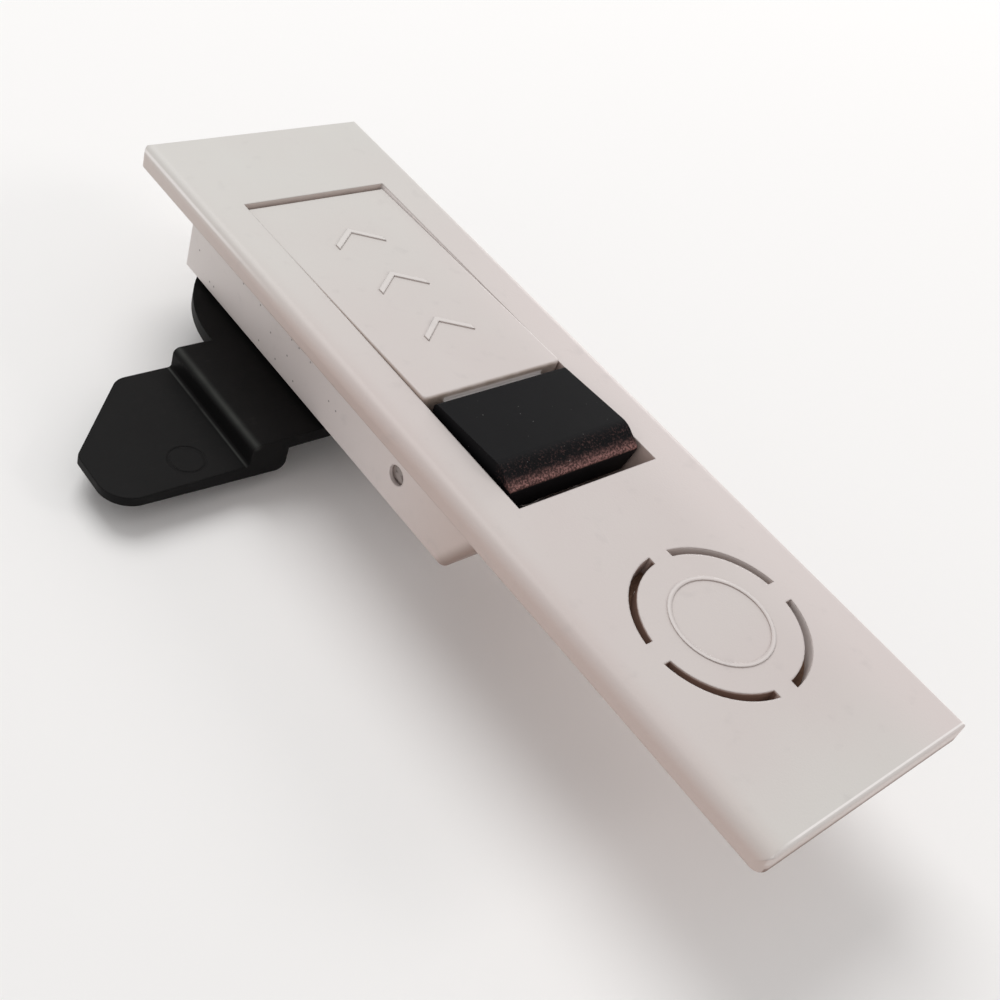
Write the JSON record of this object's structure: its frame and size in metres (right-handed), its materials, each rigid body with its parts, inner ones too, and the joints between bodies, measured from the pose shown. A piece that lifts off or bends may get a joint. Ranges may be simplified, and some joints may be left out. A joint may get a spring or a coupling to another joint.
{
  "type": "touch latch",
  "caption": "Flush door latch: long face plate with a box body, a press button, a pop-up lever hinged at one end and a stepped cam that the lever turns behind the frame.",
  "frame": {"origin": "axis of the key-cylinder knock-out, on the plate's underside, which seats on the door", "axes": "+Z out of the door, +Y along the plate towards the lever's hinge and the cam"},
  "size_m": [0.0541, 0.11, 0.0222],
  "materials": {
    "housing_plastic": "fine satin moulding, off-white",
    "lever_plastic": "fine satin moulding, off-white",
    "button_plastic": "black, with a grained bevel",
    "cam_plastic": "black satin moulding",
    "pin_steel": "cut steel",
    "spring_steel": "drawn wire",
    "spindle_steel": "turned, zinc plated",
    "washer_steel": "zinc plated",
    "screw_steel": "zinc plated"
  },
  "bodies": {
    "housing": {"housing": "housing_plastic", "button_pin": "pin_steel", "button_spring": "spring_steel", "lever_spring": "spring_steel", "thrust_washer": "washer_steel"},
    "button": {"release_button": "button_plastic"},
    "lever": {"lever": "lever_plastic"},
    "spindle": {"spindle": "spindle_steel", "retaining_ring": "spring_steel", "cam": "cam_plastic", "cam_washer": "washer_steel", "cam_lock_washer": "spring_steel", "cam_screw": "screw_steel"}
  },
  "joints": [
    {"name": "button_press", "type": "hinge", "parent": "housing", "child": "button", "pos_m": [0, 0.036, -0.0062], "axis": [1, 0, 0], "range_deg": [0, 10], "stiffness_Nm_per_rad": 0.05, "deforming": ["button_spring"]},
    {"name": "lever_lift", "type": "hinge", "parent": "housing", "child": "lever", "pos_m": [0, 0.06982, 0.0007], "axis": [-1, 0, 0], "range_deg": [0, 40]},
    {"name": "cam_turn", "type": "hinge", "parent": "housing", "child": "spindle", "pos_m": [0, 0.0678, 0], "axis": [0, 0, 1], "range_deg": [0, 90]}
  ],
  "couplings": [
    {"joint": "cam_turn", "follows": "lever_lift", "ratio": 2.25}
  ]
}
